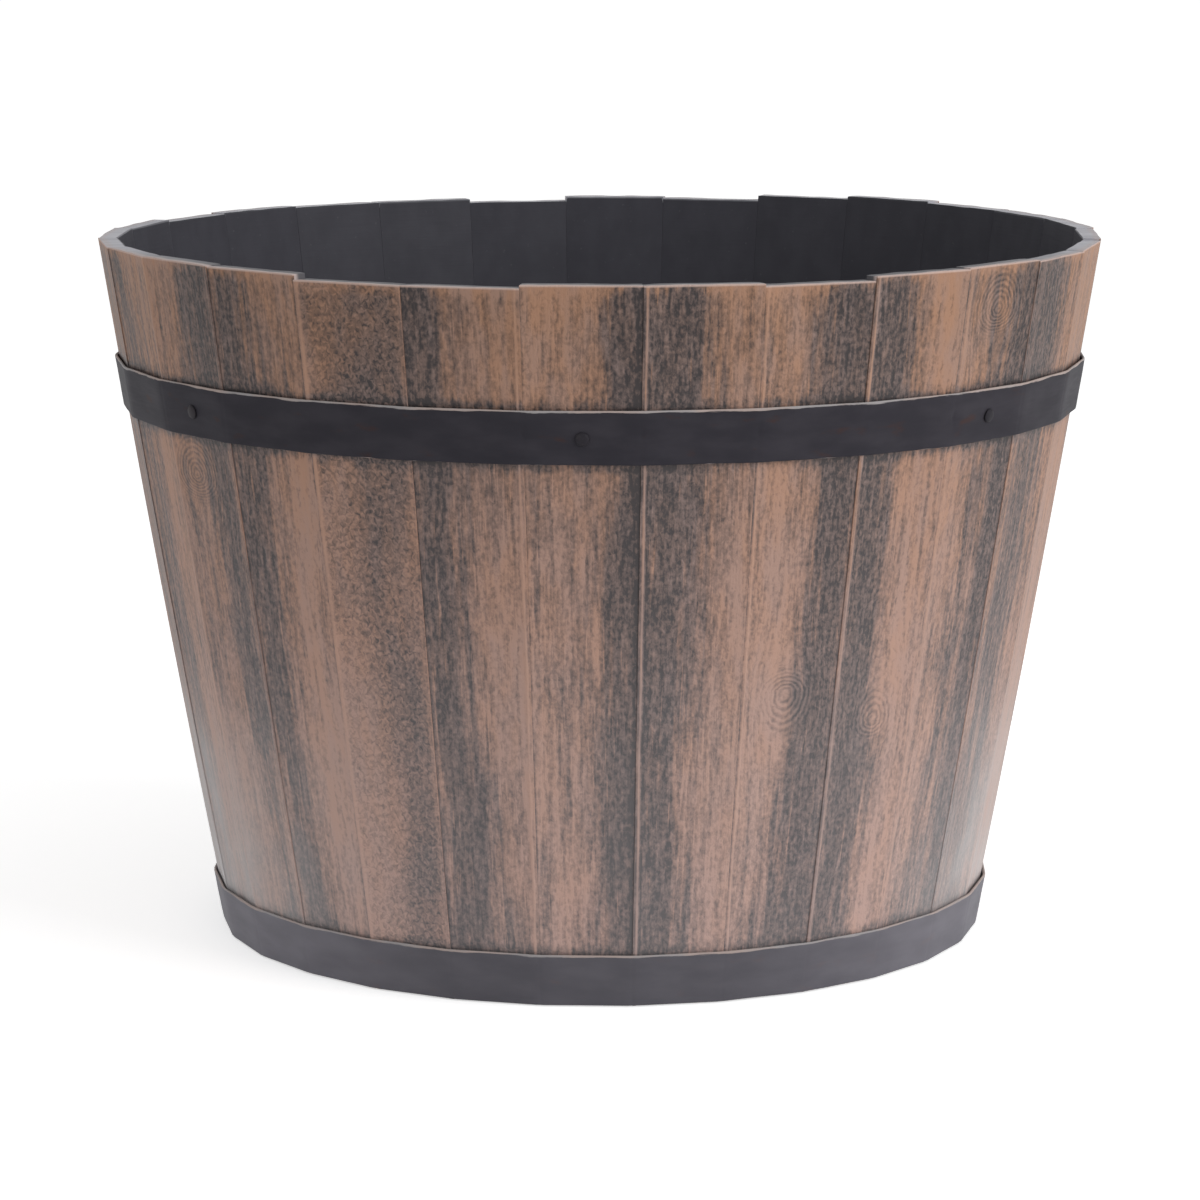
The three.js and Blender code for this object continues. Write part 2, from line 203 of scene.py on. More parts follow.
# Black paint dragged down the front staves: azimuth of the band's middle, its half width in degrees, how
# heavy it is (below 0 where the wood is barer than elsewhere), and the heights that it runs between.
FOOT, HOOP, TOP = -50, 275, 400  # FOOT and TOP lie past the stave's ends, and HOOP is behind the upper hoop
BANDS = [
    (-80, 3.0, 0.20, FOOT, TOP),
    (-73.8, 1.6, 0.18, FOOT, TOP),
    (-70.5, 2.2, 0.25, 60, TOP),
    (-70.5, 2.0, 0.18, FOOT, 60),
    (-67, 1.2, 0.12, 100, TOP),
    (-64, 2.5, -0.14, FOOT, TOP),
    (-57.5, 2.2, 0.08, FOOT, 262),
    (-59, 6.0, -0.13, FOOT, 130),
    (-49.2, 2.5, 0.70, HOOP, TOP),
    (-49.6, 2.8, 0.48, 120, HOOP),
    (-50.0, 2.2, 0.25, FOOT, 120),
    (-44.8, 2.6, 0.37, 120, TOP),
    (-44.0, 2.4, 0.38, FOOT, 120),
    (-41, 2.0, 0.20, HOOP, TOP),
    (-37, 2.8, -0.20, FOOT, HOOP),
    (-31.5, 2.2, -0.10, FOOT, 150),
    (-26, 5.0, 0.26, HOOP, TOP),
    (-24.8, 4.0, 0.19, 150, HOOP),
    (-24, 2.8, 0.24, FOOT, 150),
    (-19.3, 1.8, 0.60, HOOP, TOP),
    (-19.3, 2.2, 0.48, 120, HOOP),
    (-18.3, 2.4, 0.42, FOOT, 120),
    (-15.5, 1.2, 0.07, FOOT, TOP),
    (-15.5, 1.8, 0.14, FOOT, 120),
    (-9, 3.0, -0.12, FOOT, HOOP),
    (-12, 3.0, -0.08, HOOP, TOP),
    (-11.5, 1.2, 0.18, FOOT, 110),
    (-4, 3.0, -0.10, HOOP, TOP),
    (3.0, 2.6, 0.46, FOOT, TOP),
    (4.2, 0.5, 0.42, FOOT, TOP),
    (8.2, 3.2, 0.52, HOOP, TOP),
    (6.9, 2.4, 0.52, FOOT, HOOP),
    (11, 1.8, 0.13, FOOT, HOOP),
    (15.5, 2.0, -0.06, FOOT, TOP),
    (20.8, 2.2, -0.20, 90, HOOP),
    (21, 3.0, -0.09, HOOP, TOP),
    (27.6, 2.4, 0.55, FOOT, TOP),
    (24, 1.4, 0.08, HOOP, TOP),
    (24, 2.0, 0.20, FOOT, 120),
    (32.8, 2.5, 0.55, FOOT, TOP),
    (36, 1.4, 0.06, HOOP, TOP),
    (36, 2.0, 0.16, FOOT, 130),
    (39.8, 2.8, -0.18, FOOT, TOP),
    (47, 3.0, -0.08, FOOT, HOOP),
    (49.5, 3.0, 0.18, FOOT, TOP),
    (54.8, 2.1, 0.50, FOOT, TOP),
    (57, 1.6, 0.20, HOOP, TOP),
    (57, 1.6, 0.20, FOOT, 120),
    (60.0, 3.8, 0.60, HOOP, TOP),
    (61.0, 3.6, 0.38, FOOT, HOOP),
    (61.0, 2.6, -0.09, FOOT, 130),
    (75.5, 7.0, -0.20, FOOT, TOP),
]
BARE_COVER = 0.34  # between the bands
FRONT_REACH = 86  # the bands above cover this many degrees either way

# Knots whose rings show through the paint: azimuth, height, half width and half height. The rings reach
# further above the heart, or below it where the half height is negative.
KNOTS = [
    (-55.4, 245, 22, 17),
    (23.4, 152, 16, -16),
    (36.8, 134, 13, 13),
    (49.3, 327, 20, 16),
    (-118, 120, 14, 18),
    (141, 215, 15, 16),
    (-160, 70, 13, 15),
]
KNOT_LONG_SIDE, KNOT_SHORT_SIDE = 1.45, 0.8  # times the half height
NO_KNOT = 99.0  # the distance given where there is none
RING_PITCH = 2.3

# Smooth ridges of clean wood along the joints in front: azimuth, strength, half width in millimetres, and how
# much paint has gathered along both feet.
RIDGES = [
    (-60.4, 0.8, 0.9, 0),
    (-47.3, 0.4, 0.5, 0),
    (-33.7, 0.9, 1.1, 0),
    (-21.6, 0.35, 0.5, 0),
    (-8.9, 1.0, 0.6, 0),
    (4.9, 1.0, 0.55, 0.45),
    (17.8, 0.9, 0.6, 0),
    (30.6, 0.8, 0.65, 0),
    (43.8, 0.6, 1.1, 0),
    (57.5, 0.45, 1.5, 0),
]
RIDGE_FOOT = 1.6  # from a ridge's middle to the paint along its foot
BACK_STAVES = range(7, 24)  # by stave number; these draw their ridge's strength
BACK_RIDGES = [0, 0.5, 0.9]
WORMY = {27: 1.0, 12: 0.8, 17: 0.9}  # staves whose paint gathers in short worms, and how much


def stave_azimuth(index):
    return from_front(FIRST_AZIMUTH + index * PITCH)


def back_bands():
    """Two bands for each stave that the list above leaves out: a dark one down the whole stave, and on the
    other side a weak or bare one that ends above the foot."""
    chance = np.random.default_rng(11)
    bands = []
    for index in range(STAVES):
        middle = stave_azimuth(index)
        draws = chance.uniform(0, 1, 8)
        if abs(middle) < FRONT_REACH:
            continue
        side = -1 if draws[0] < 0.5 else 1
        place, half_width = middle + side * (2 + 2.5 * draws[1]), 1.8 + 1.4 * draws[2]
        bands.append((place, half_width, 0.35 + 0.25 * draws[3], FOOT, TOP))
        place, half_width = middle - side * 4.5 * draws[4], 1.4 + draws[6]
        bands.append((place, half_width, 0.45 * draws[7] - 0.2, 40 + 120 * draws[5], TOP))
    return bands


ALL_BANDS = BANDS + back_bands()
BAND_WANDER = 0.5  # degrees that a band strays from its azimuth
WANDER_LENGTH = 45
BAND_FADE = 30  # height over which a band ends


def band_cover(azimuth, z, middle):
    """How much black paint lies at each point of the stave whose middle is at that azimuth."""
    cover = np.full(azimuth.shape, BARE_COVER)
    for place, half_width, weight, low, high in ALL_BANDS:
        if abs(place - middle) > PITCH / 2:
            continue
        wander = BAND_WANDER * noise(z / WANDER_LENGTH, np.full(z.shape, place), 5)
        across = 1 / (1 + (np.abs(azimuth - place - wander) / half_width) ** 3)
        ends = smooth((z - low) / BAND_FADE + 0.5) * smooth((high - z) / BAND_FADE + 0.5)
        cover += weight * across * ends
    return cover


# Painted light: the wall's colours lighten towards the foot, as if lit from the floor.
FOOT_PAINTED_LIGHT = 0.52
PAINTED_LIGHT_HEIGHT = 330


def foot_painted_light(z):
    """How far the colours are lightened by painted light from the floor: more towards the foot."""
    return FOOT_PAINTED_LIGHT * np.clip(1 - z / PAINTED_LIGHT_HEIGHT, 0, 1)


def dust_and_sheen_cover(azimuth, z):
    """Dust by the ground, together with a painted sheen at a grazing view: thickest at the sides, most of all
    at the left, thinner at the back, and only a film in front."""
    front = from_front(azimuth)
    turn = np.abs(front)
    side = np.where(front < 0, fade(turn, 22, 50), fade(turn, 38, 36))
    side = side * (0.36 + 0.16 * fade(turn, 48, 24) - 0.26 * fade(turn, 80, 60))
    left = np.where(front < 0, fade(turn, 60, 18) * fade(turn, 150, -70), 0)
    film = 0.06 * fade(z, 235, -150)
    return side * fade(z, 165, -130) + film + 0.19 * left * fade(z, 160, -110)


def knot_field(azimuth, z, middle):
    """Distance from the nearest knot's heart, how far its rings replace the straight grain, and how far the
    grain bends round it."""
    distance, within, bend = np.full(z.shape, NO_KNOT), np.zeros(z.shape), np.zeros(z.shape)
    for place, height, half_width, half_height in KNOTS:
        if abs(place - middle) > PITCH / 2:
            continue
        x = np.radians(azimuth - place) * wall_radius(z)
        stretch = np.where((z > height) == (half_height > 0), KNOT_LONG_SIDE, KNOT_SHORT_SIDE)
        y = (z - height) / (abs(half_height) * stretch)
        reach = np.hypot(x / half_width, y)
        bend -= 0.5 * x * bump(np.hypot(x / half_width, y / 1.7), 1)
        distance = np.minimum(distance, reach * half_width)
        within = np.maximum(within, smooth((1.1 - reach) / 0.5))
    return distance, within, bend


# ---- Staves ----

STAVE_SEED = 100
ROUNDING = 0.22
INNER_ROUNDING = 0.08
EDGE_STEPS = [0, 0.07, 0.14, 0.22]  # lattice rows that make a rounded edge
EDGE_COLUMNS = np.array(EDGE_STEPS + [0.7, 1.15, 1.55, 1.95, 2.4, 3.1, 4.2, 5.4])  # from a joint
MIDDLE_COLUMNS = np.linspace(-1, 1, 19)[1:-1]  # shares of what is left between the two joints' columns
DEPTHS = np.array(EDGE_STEPS + [0.6, 1.1, 3, 5.5, 8, 9.78, 9.86, 9.93, 10])  # in from the outer face
BARE_DEPTHS = 5  # the joint faces' first rows of quads, which show beside a stave that stands less proud
FIXED_DEPTH = 3  # what lies further in than this follows the stave's own thickness
VISIBLE_GAP = 0.05
SINK = 0.4  # keeps the relief inside the part's box
MEAN_RELIEF = 0.08
CORNER_WEAR = 2.4  # how far down a taller stave's top corners are rubbed
MAX_COVER = 1.2


def stave_heights(top):
    rows = EDGE_STEPS + [4, 8, 12, 16, 20, CROZE[0] - 0.4, CROZE[0], CROZE[1], CROZE[1] + 0.4]
    rows += list(np.linspace(34.5, top - 2.6, 84))
    rows += [top - down for down in (1.4, 0.8, 0.4, *EDGE_STEPS[::-1])]
    return np.array(rows)


def face_step(index):
    """How far a stave stands out of the ring."""
    return FACE_STEP * FACE_SHARES[index % STAVES % len(FACE_SHARES)]


def stave_top(number):
    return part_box(f"stave_{(number - 1) % STAVES + 1:02d}")[1].z / MM


def ridges(azimuth, z, from_left, middle, number, seed):
    """The ridges of clean wood along a stave's joints, and the paint gathered at their feet."""
    wave = 0.25 * noise(z / 30, z * 0, seed + 1)
    drawn = np.random.default_rng(seed).choice(BACK_RIDGES) if number in BACK_STAVES else 0
    ridge = drawn * bump(from_left - 1.55 - wave, 0.6)
    gathered = np.zeros(z.shape)
    for place, strength, ridge_width, paint in RIDGES:
        if abs(place - middle) < PITCH / 2:
            away = np.radians(azimuth - place) * wall_radius(z) - wave
            ridge += strength * bump(away, ridge_width)
            gathered += paint * bump(np.abs(away) - RIDGE_FOOT, 0.7)
    broken = 0.88 + 0.24 * noise(z / 11, z * 0, seed + 8)
    return ridge * broken, gathered


def stave(index):
    number = index + 1
    node = f"stave_{number:02d}"
    seed = STAVE_SEED + number
    middle = stave_azimuth(index)
    top = stave_top(number)
    taller_left, taller_right = top > stave_top(number - 1), top > stave_top(number + 1)
    step, step_before, step_after = (face_step(near) for near in (index, index - 1, index + 1))

    heights = stave_heights(top)
    columns = 2 * len(EDGE_COLUMNS) + len(MIDDLE_COLUMNS)
    places, sides = lattice_shell((columns, len(DEPTHS), len(heights)))
    column, depth, row = places.T

    # Each point's place on a stave with rounded edges: u from the middle, w in from the outer face, and z.
    edge = len(EDGE_COLUMNS)
    from_edge = np.full(columns, np.inf)
    from_edge[:edge] = EDGE_COLUMNS
    from_edge[-edge:] = EDGE_COLUMNS[::-1]
    share = np.zeros(columns)
    share[:edge], share[-edge:] = -1, 1
    share[edge:-edge] = MIDDLE_COLUMNS
    in_u = from_edge[column]
    in_w = np.minimum(DEPTHS, THICKNESS - DEPTHS)[depth]
    in_z = np.minimum(heights, top - heights)[row]
    outer_half = DEPTHS[depth] < THICKNESS / 2
    moved = rounded([in_u, in_w, in_z], np.where(outer_half, ROUNDING, INNER_ROUNDING))
    in_u = np.where(np.isinf(in_u), in_u, in_u + moved[0])
    w = DEPTHS[depth] + moved[1] * np.where(outer_half, 1, -1)
    z = heights[row] + moved[2] * np.where(heights[row] < top / 2, 1, -1)

    # The croze groove in the inner side, which is planed flush all round.
    cut = ((z > CROZE[0] - 0.1) & (z < CROZE[1] + 0.1)) * CROZE_CUT
    thickness = THICKNESS - FACE_STEP + step - cut
    stretch = (thickness - FIXED_DEPTH) / (THICKNESS - FIXED_DEPTH)
    w = np.where(w > FIXED_DEPTH, FIXED_DEPTH + (w - FIXED_DEPTH) * stretch, w)

    radius = wall_radius(z) + step - w
    half = radius * math.tan(HALF) - VISIBLE_GAP / 2 / math.cos(HALF)
    reach = half - EDGE_COLUMNS[-1]
    u = share[column] * np.where(np.isinf(in_u), reach, half - in_u)
    azimuth = middle + np.degrees(np.arctan2(u, radius))
    from_left, from_right = half + u, half - u

    # Relief of the outer face: ridges along the joints, shallow waves, long grain and knots.
    ridge, gathered = ridges(azimuth, z, from_left, middle, number, seed)
    distance, within, bend = knot_field(azimuth, z, middle)
    relief = 0.32 * ridge + 0.10 * noise(u / 14, z / 70, seed + 2) + 0.07 * noise(u / 2.4, z / 60, seed + 3)
    relief += 0.05 * within * np.cos(2 * np.pi * distance / (2 * RING_PITCH))
    outer = smooth(1 - w / 2.5)
    radius = radius + outer * (relief - SINK + MEAN_RELIEF)

    # The inner side is planed a little unevenly, and the top end is a little worn.
    inner = smooth((w - thickness + 2.5) / 2.5) * (cut == 0)
    radius = radius + inner * 0.05 * noise(u / 20, z / 40, seed + 4)
    worn = 0.18 + 0.18 * noise(u / 9, w / 6, seed + 5) + 0.1 * bump(from_left, 2) + 0.1 * bump(from_right, 2)
    z = z - worn * smooth((z - top + 9) / 9)

    # Paint. It also gathers in the corner beside a prouder stave, whose own edge is rubbed clean, except
    # towards the sides. Along the hoops' edges the darkening is gathered paint together with painted shade
    # beside and under the hoops.
    corner = taller_left * bump(from_left, 0.4) + taller_right * bump(from_right, 0.4)
    proud_left, proud_right = np.sign(step - step_before), np.sign(step - step_after)
    cover = band_cover(azimuth, z, middle) + gathered
    cover += 0.25 * (proud_left < 0) * bump(from_left, 0.8) + 0.25 * (proud_right < 0) * bump(from_right, 0.8)
    # Painted shade with gathered paint: darker bands along the hoops' edges.
    for hoop_edge in (UPPER_HOOP_Z, UPPER_HOOP_Z + HOOP_WIDTH, LOWER_HOOP_Z + HOOP_WIDTH):
        reach = 2.6 + 1.2 * noise(u / 7, z * 0, seed + 7)
        cover += 0.45 * bump(np.abs(z - hoop_edge) / reach, 1)
    cover -= 0.25 * smooth((z - top + 6) / 5)
    turn = np.abs(from_front(azimuth))
    rubbed = (proud_left > 0) * bump(from_left, 0.55) + (proud_right > 0) * bump(from_right, 0.55)
    rubbed = rubbed * (1 - fade(turn, 58, 10))
    clean = np.clip(ridge * 1.25 + rubbed * (0.35 + 0.3 * noise(z / 18, z * 0, seed + 6)), 0, 1)
    worm = np.full(z.shape, WORMY.get(number, 0.0))

    angle = math.radians(middle - 90)
    x = radius * math.cos(angle) - u * math.sin(angle)
    y = radius * math.sin(angle) + u * math.cos(angle)
    attributes = {
        "grain": (u + bend + 61 * number, z, z * 0 + number * 7.3),
        "paint": (np.clip(cover, 0, MAX_COVER), clean, worm),
        "knot": (distance, within, top - z),
        # wear: painted light towards the foot, the depth in from the outer face, and dust with a painted
        # sheen
        "wear_and_painted_light": (foot_painted_light(z), w, dust_and_sheen_cover(azimuth, z)),
        # rim: the share of the top end's painted reflection, growing towards the sides, and the depth below
        # the top
        "rim": (fade(turn, 42, 36), top - z - CORNER_WEAR * corner, z * 0),
    }
    chart = [
        (u, z, 0.005, 0.495),
        (u, z, 0.505, 0.765),
        (w, z, 0.775, 0.825),
        (w, z, 0.835, 0.885),
        (w, u, 0.895, 0.94),
        (w, u, 0.95, 0.995),
    ]
    # The outer side and the joints' outer edges have the weathered paint, and everything else is charred.
    joint = np.where(np.repeat(np.arange(len(DEPTHS) - 1), len(heights) - 1) < BARE_DEPTHS, 0, 1)
    skins = [np.full(len(sides[0]), 0), np.full(len(sides[1]), 1), joint, joint]
    skins += [np.full(len(sides[4]), 1), np.full(len(sides[5]), 1)]
    points = np.stack([x, y, z], -1)
    materials = (weathered, charred)
    add_shell(node + "_wood", points, sides, materials, skins, attributes, chart, node)


# ---- Hoops ----

FACET_STOPS = np.array([-1, -0.965, -0.9, -0.7, -0.35, 0, 0.35, 0.7, 0.9, 0.965])  # in half facets
HOOP_ROWS = np.array([0, 0.12, 0.3, 0.6, 1.1, 2, 3.5, 5.5, 7.5, 9.5, 11, 12])  # in from either edge
HOOP_LAYERS = np.array([0, 0.2, 0.45, 0.7])  # in from either side, up to the middle
HOOP_ROUNDING = 0.6
FOLD_WEAR = 0.35  # how far the folds between the facets are flattened
DIMPLE_RADIUS = 1.7


def hoop_dust_and_sheen(azimuth):
    """The share of dust and of a painted reflection of the floor on the lower hoop, least in front."""
    front = from_front(azimuth)
    return 0.25 + np.where(front < 0, 0.32, 0.22) * fade(np.abs(front), 15, 45)


def hoop(name, bottom, dust_and_sheen_share, dimples, seed):
    """One strip, bent round the staves' facets, that steps out over its own first end. Each dimple is an
    azimuth, a height up the strip and a depth."""
    rows = np.concatenate([HOOP_ROWS, [HOOP_WIDTH / 2], HOOP_WIDTH - HOOP_ROWS[::-1]])
    layers = np.concatenate([HOOP_LAYERS, HOOP_THICKNESS - HOOP_LAYERS[-2::-1]])
    lap_azimuth = FIRST_AZIMUTH + LAP_STAVE * PITCH
    face = wall_radius(bottom + HOOP_WIDTH / 2) + HOOP_STANDOFF
    lap_half = math.degrees(LAP_LENGTH / 2 / face)

    # Stops along the strip, as azimuths that run on past a full turn. The outer end lies over the first end.
    stops = (LAP_STAVE - STAVES + np.arange(STAVES + 2)[:, None] + FACET_STOPS[None] / 2).ravel() * PITCH
    stops = stops + FIRST_AZIMUTH
    first, last = lap_azimuth - 360 - lap_half, lap_azimuth + lap_half
    joggle = math.degrees(LAP_JOGGLE / face)
    start_of_lap = lap_azimuth - lap_half
    extra = [first, first + 0.1, start_of_lap - joggle, start_of_lap - joggle / 2, start_of_lap]
    extra += [last - 0.1, last]
    within_ends = (stops > first + 0.2) & (stops < last - 0.2)
    stops = np.unique(np.concatenate([stops[within_ends], extra]))

    places, sides = lattice_shell((len(stops), len(layers), len(rows)))
    stop, layer, row = places.T
    azimuth, v = stops[stop], rows[row]
    w = layers[::-1][layer]  # layer 0 is the outer side

    in_w = np.minimum(w, HOOP_THICKNESS - w)
    in_v = np.minimum(v, HOOP_WIDTH - v)
    moved = rounded([in_w, in_v], HOOP_ROUNDING)
    w = w + moved[0] * np.where(w < HOOP_THICKNESS / 2, 1, -1)
    v = v + moved[1] * np.where(v < HOOP_WIDTH / 2, 1, -1)

    over = smooth((azimuth - start_of_lap + joggle) / joggle)
    z = bottom + v
    lean = wall_lean(bottom + HOOP_WIDTH / 2)
    out = (HOOP_STANDOFF + (LAP_STANDOFF - HOOP_STANDOFF) * over + w) / math.cos(lean)
    in_facet = (azimuth - FIRST_AZIMUTH + PITCH / 2) % PITCH - PITCH / 2
    chord = wall_radius(bottom) + (wall_radius(bottom + HOOP_WIDTH) - wall_radius(bottom)) * v / HOOP_WIDTH
    radius = (chord + out) / np.cos(np.radians(np.abs(in_facet)))
    radius = radius - FOLD_WEAR * bump(np.radians(PITCH / 2 - np.abs(in_facet)), HALF * 0.05)

    # Hammer marks, the dimples at some folds and slightly wavy edges.
    outside = smooth(w / HOOP_THICKNESS)
    along = np.radians(azimuth) * face
    dent = 0.10 + 0.10 * noise(along / 17, v / 9, seed) + 0.05 * noise(along / 5, v / 5, seed + 1)
    for place, height, depth in dimples:
        away = np.hypot(np.radians(azimuth - place) * face, (v - height) * 0.8)
        dent = dent + depth * bump(away, DIMPLE_RADIUS)
    radius = radius - outside * dent * (1 - 0.5 * over)
    edge_wave = np.abs(0.15 * noise(along / 26, v * 0, seed + 2))
    z = z + edge_wave * bump(in_v, 1.5) * np.where(v < HOOP_WIDTH / 2, 1, -1)

    turn = np.radians(azimuth - 90)
    points = np.stack([radius * np.cos(turn), radius * np.sin(turn), z], -1)
    attributes = {
        "grain": (along + seed * 3, v, w),
        # wear: distance in from the nearer edge, which half, and on the lower hoop dust with a painted
        # reflection of the floor
        "wear_and_painted_light": (in_v, np.where(v > HOOP_WIDTH / 2, 1.0, 0.0), dust_and_sheen_share * hoop_dust_and_sheen(azimuth)),
    }
    chart = [
        (azimuth, v, 0.005, 0.495),
        (azimuth, v, 0.505, 0.945),
        (w, v, 0.95, 0.96),
        (w, v, 0.965, 0.975),
        (w, azimuth, 0.98, 0.985),
        (w, azimuth, 0.99, 0.995),
    ]
    skins = [np.zeros(len(side)) for side in sides]
    add_shell(name + "_strap", points, sides, (iron,), skins, attributes, chart, name)


# ---- Rivets and nails ----

PIN_STEPS = 28
DOME_ANGLES = np.radians([12, 26, 42, 58, 74])  # up the head's dome
HEAD_LIFT = 0.12  # the head's upright rim
CROWN_DROP = 0.2  # how far the dome stays below the CAD head's top, at most


def fastener(node, number, head_radius, head_height, shank_radius):
    """A hammered domed head on its shank, in the place and direction of the CAD node."""
    corners = np.array([v.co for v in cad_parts[node].data.vertices], float) / MM
    middle = corners.mean(0)
    outward = np.array([middle[0], middle[1], 0.0])
    outward /= np.linalg.norm(outward)
    lean = float(wall_lean(middle[2]))
    axis = outward * math.cos(lean) - np.array([0, 0, math.sin(lean)])
    reach = corners @ axis
    tip, crown = reach.min(), reach.max()
    centre = middle - axis * (middle @ axis)
    across = np.cross([0, 0, 1], axis)
    across /= np.linalg.norm(across)
    up = np.cross(axis, across)

    # The outline as pairs of a radius and a level along the axis, from the point of the shank to the crown.
    seat = crown - head_height
    profile = [(shank_radius * 0.5, tip), (shank_radius, tip + 1), (shank_radius, seat)]
    profile += [(head_radius * 0.93, seat), (head_radius, seat + HEAD_LIFT)]
    for angle in DOME_ANGLES:
        level = seat + HEAD_LIFT + (head_height - CROWN_DROP) * math.sin(angle)
        profile.append((head_radius * math.cos(angle) ** 0.8, level))
    turn = np.linspace(0, 2 * np.pi, PIN_STEPS, endpoint=False)
    points = []
    for radius, level in profile:
        uneven = noise(np.cos(turn) * 1.3 + number, np.sin(turn) * 1.3 + radius, 40 + number)
        wobble = 1 - 0.05 * (0.5 + 0.5 * uneven)
        ring = np.cos(turn)[:, None] * across + np.sin(turn)[:, None] * up
        points.append(centre + axis * level + radius * wobble[:, None] * ring)
    points = np.concatenate(points)
    rings = len(profile)
    start = np.arange(PIN_STEPS)
    after = (start + 1) % PIN_STEPS
    quads = []
    for ring in range(rings - 1):
        low, high = ring * PIN_STEPS, (ring + 1) * PIN_STEPS
        quads += np.stack([low + start, low + after, high + after, high + start], -1).tolist()
    quads.append(start[::-1].tolist())
    quads.append(((rings - 1) * PIN_STEPS + start).tolist())
    mesh = bpy.data.meshes.new(node + "_head")
    mesh.from_pydata((points * MM).tolist(), [], quads)
    mesh.materials.append(fastening)
    mesh.polygons.foreach_set("use_smooth", np.ones(len(quads), bool))
    add_piece(node + "_head", mesh, node)


# ---- Materials ----

# Linear colours. Where there are two, noise blends between them.
TANS = (0.340, 0.186, 0.116), (0.308, 0.187, 0.138)
CLEAN_WOOD = (0.420, 0.240, 0.160)
# Painted light from the floor: the tan's colour towards the foot.
FOOT_LIT_WOOD = (0.68, 0.47, 0.43)
GREY_WASH = (0.25, 0.225, 0.24)
INK = (0.018, 0.016, 0.018)
# Painted light from the floor: the black's colour towards the foot.
FOOT_LIT_INK = (0.43, 0.43, 0.46)
# Dust, with a painted sheen towards the sides.
WOOD_DUST_AND_SHEEN = (0.56, 0.54, 0.54)
# The top edge: wear with a painted highlight.
WORN_LIT_RIM = (0.52, 0.38, 0.33)
CHARS = (0.046, 0.045, 0.055), (0.053, 0.052, 0.063)
CHAR_SPECK = (0.13, 0.13, 0.14)
# The top end's painted reflection: paler colours towards the sides and a darker one at the front.
END_REFLECTION_CHARS = (0.380, 0.378, 0.410), (0.480, 0.476, 0.510)
FRONT_END_CHAR = (0.12, 0.115, 0.125)
# Bare wood with a painted highlight along the top end's outer edge.
BARE_LIT_END = (0.46, 0.38, 0.36)
INNER_EDGE_CHAR = (0.05, 0.05, 0.06)
IRON_PAINTS = (0.031, 0.029, 0.036), (0.041, 0.038, 0.046)
RUST = (0.060, 0.028, 0.020)
# Dust with a painted reflection of the floor, on the lower hoop.
IRON_DUST_AND_SHEEN = (0.33, 0.32, 0.36)
BARE_IRONS = (0.44, 0.36, 0.33), (0.36, 0.34, 0.34)
FASTENING_PAINTS = (0.018, 0.016, 0.021), (0.036, 0.032, 0.036)
BOARD_CHARS = (0.019, 0.018, 0.020), (0.052, 0.046, 0.045)
BOARD_FIGURE = (0.031, 0.028, 0.029)
BEECHES = (0.42, 0.27, 0.16), (0.27, 0.16, 0.09)
PAPERS = (0.86, 0.86, 0.86), (0.88, 0.88, 0.88)

SOLID_COVER = 0.9  # more paint than this adds nothing, until it closes over the grain
CLOSED_COVER = (0.92, 1.15)  # where it begins to and where it has


def new_tree(name):
    made = bpy.data.materials.new(name)
    made.use_nodes = True
    made.node_tree.nodes.clear()
    return made, made.node_tree


def add(tree, kind, inputs=(), **settings):
    """A node with its settings and its inputs, each a value or another node's output."""
    made = tree.nodes.new("ShaderNode" + kind)
    for key, value in settings.items():
        setattr(made, key, value)
    for key, value in dict(inputs).items():
        if isinstance(value, bpy.types.NodeSocket):
            tree.links.new(value, made.inputs[key])
        else:
            made.inputs[key].default_value = value
    return made


def maths(tree, operation, a, b=0.0, c=0.0, clamp=False):
    return add(tree, "Math", {0: a, 1: b, 2: c}, operation=operation, use_clamp=clamp).outputs[0]


def blend(tree, share, a, b):
    """A colour between a and b."""
    a = a if isinstance(a, bpy.types.NodeSocket) else (*a, 1)
    b = b if isinstance(b, bpy.types.NodeSocket) else (*b, 1)
    return add(tree, "Mix", {0: share, 6: a, 7: b}, data_type="RGBA").outputs[2]


def ramp(tree, value, low, high):
    """0 below low, 1 above high."""
    return add(tree, "MapRange", {0: value, 1: low, 2: high}, interpolation_type="SMOOTHSTEP").outputs[0]


def streaks(tree, coordinates, scale, detail=2.0, roughness=0.5, distortion=0.0):
    """Noise from 0 to 1, mostly near a half, stretched by its scale along each axis. On the staves the axes
    run across and along the grain, and a scale of 1 is a change over about a millimetre."""
    stretched = add(tree, "Mapping", {"Vector": coordinates, "Scale": scale})
    return add(
        tree,
        "TexNoise",
        {
            "Vector": stretched.outputs[0],
            "Scale": 1.0,
            "Detail": detail,
            "Roughness": roughness,
            "Distortion": distortion,
        },
    ).outputs[0]


def named(tree, name):
    """A mesh attribute, whole and split in three."""
    made = add(tree, "Attribute", attribute_name=name)
    split = add(tree, "SeparateXYZ", {0: made.outputs["Vector"]})
    return made.outputs["Vector"], *split.outputs


def surface(tree, colour, roughness, height, depth, **values):
    """Ends a material: a Principled shader with a bump of that depth in metres."""
    bumped = add(tree, "Bump", {"Height": height, "Distance": depth, "Strength": 1.0})
    inputs = {"Base Color": colour, "Roughness": roughness, "Normal": bumped.outputs[0]}
    shader = add(tree, "BsdfPrincipled", inputs)
    for key, value in values.items():
        shader.inputs[key.replace("_", " ")].default_value = value
    add(tree, "OutputMaterial", {"Surface": shader.outputs[0]})


